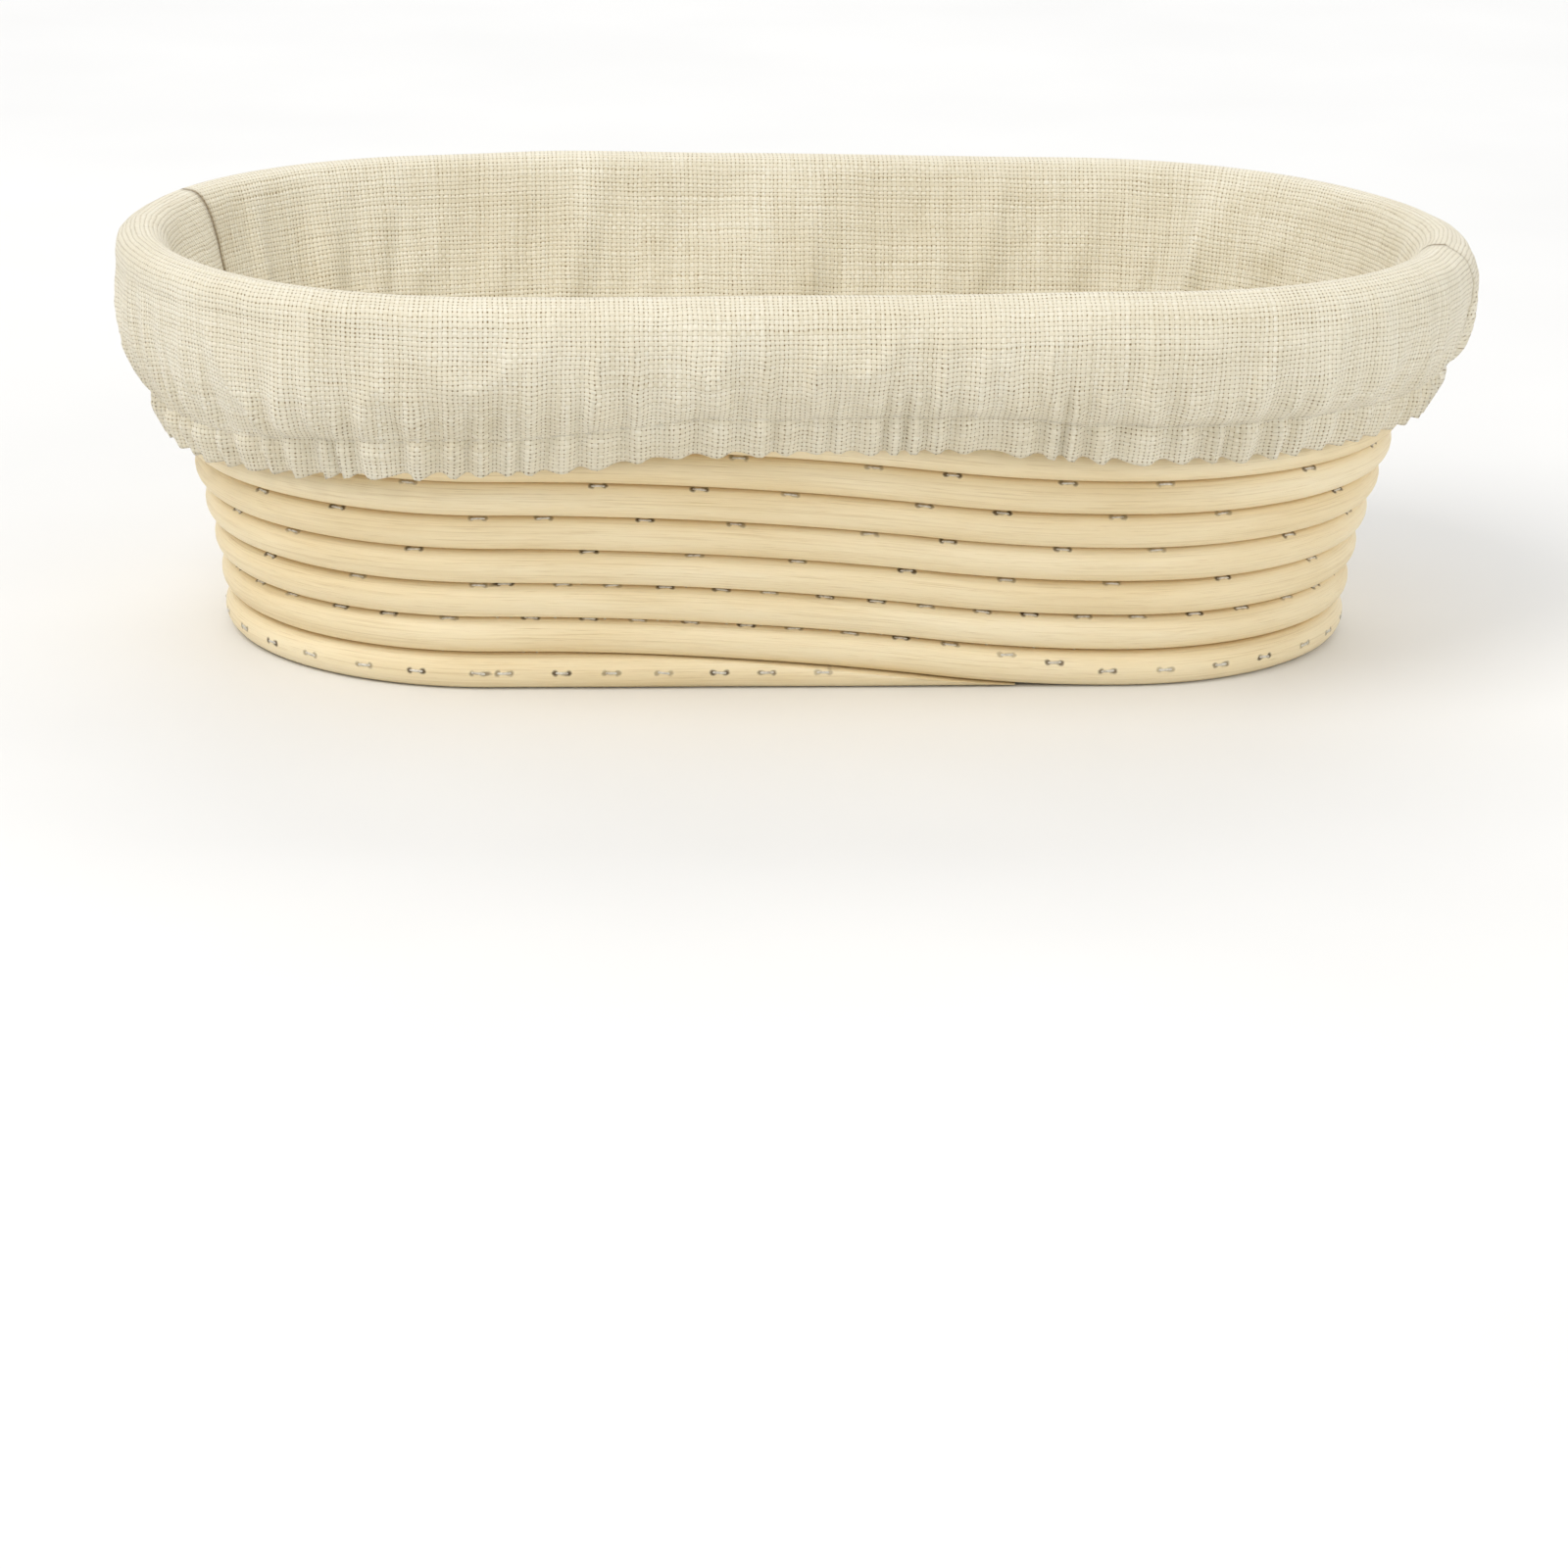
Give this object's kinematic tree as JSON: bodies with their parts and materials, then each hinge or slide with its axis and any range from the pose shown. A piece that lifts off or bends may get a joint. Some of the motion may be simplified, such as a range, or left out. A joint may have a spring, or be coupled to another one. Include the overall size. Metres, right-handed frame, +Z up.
{
  "type": "banneton basket",
  "caption": "Oval rattan proofing basket wound from one climbing coil of cane, stapled turn to turn, with a lift-off elasticated linen liner.",
  "frame": {"origin": "middle of the underside, on the surface that the basket stands on", "axes": "+X along the oval, +Y to the back, where the canes are spliced, +Z up out of the open top"},
  "size_m": [0.2618, 0.1448, 0.0776],
  "materials": {
    "rattan": "smooth, unvarnished cane",
    "staple_wire": "dull galvanised wire",
    "linen": "coarse plain weave, unbleached",
    "thread": "matte sewing thread",
    "elastic": "woven elastic band"
  },
  "bodies": {
    "basket": {"base_coil": "rattan", "base_core_strips": "rattan", "base_staples": "staple_wire", "wall_cane_1": "rattan", "wall_cane_2": "rattan", "wall_cane_3": "rattan", "wall_cane_4": "rattan", "wall_cane_5": "rattan", "wall_staples_turn_01": "staple_wire", "wall_staples_turn_02": "staple_wire", "wall_staples_turn_03": "staple_wire", "wall_staples_turn_04": "staple_wire", "wall_staples_turn_05": "staple_wire", "wall_staples_turn_06": "staple_wire", "wall_staples_turn_07": "staple_wire", "wall_staples_turn_08": "staple_wire", "wall_staples_turn_09": "staple_wire", "wall_staples_turn_10": "staple_wire", "wall_staples_turn_11": "staple_wire"},
    "liner": {"end_seam_stitching": "thread", "floor_seam_stitching": "thread", "hem_elastic": "elastic", "hem_stitching": "thread", "liner_floor": "linen", "liner_side_back": "linen", "liner_side_front": "linen"}
  },
  "joints": [
    {"name": "liner_lift", "type": "slide", "parent": "basket", "child": "liner", "axis": [0, 0, 1], "range_m": [0, 0.09], "deforming": ["liner_side_front", "liner_side_back", "hem_elastic", "hem_stitching"]}
  ]
}
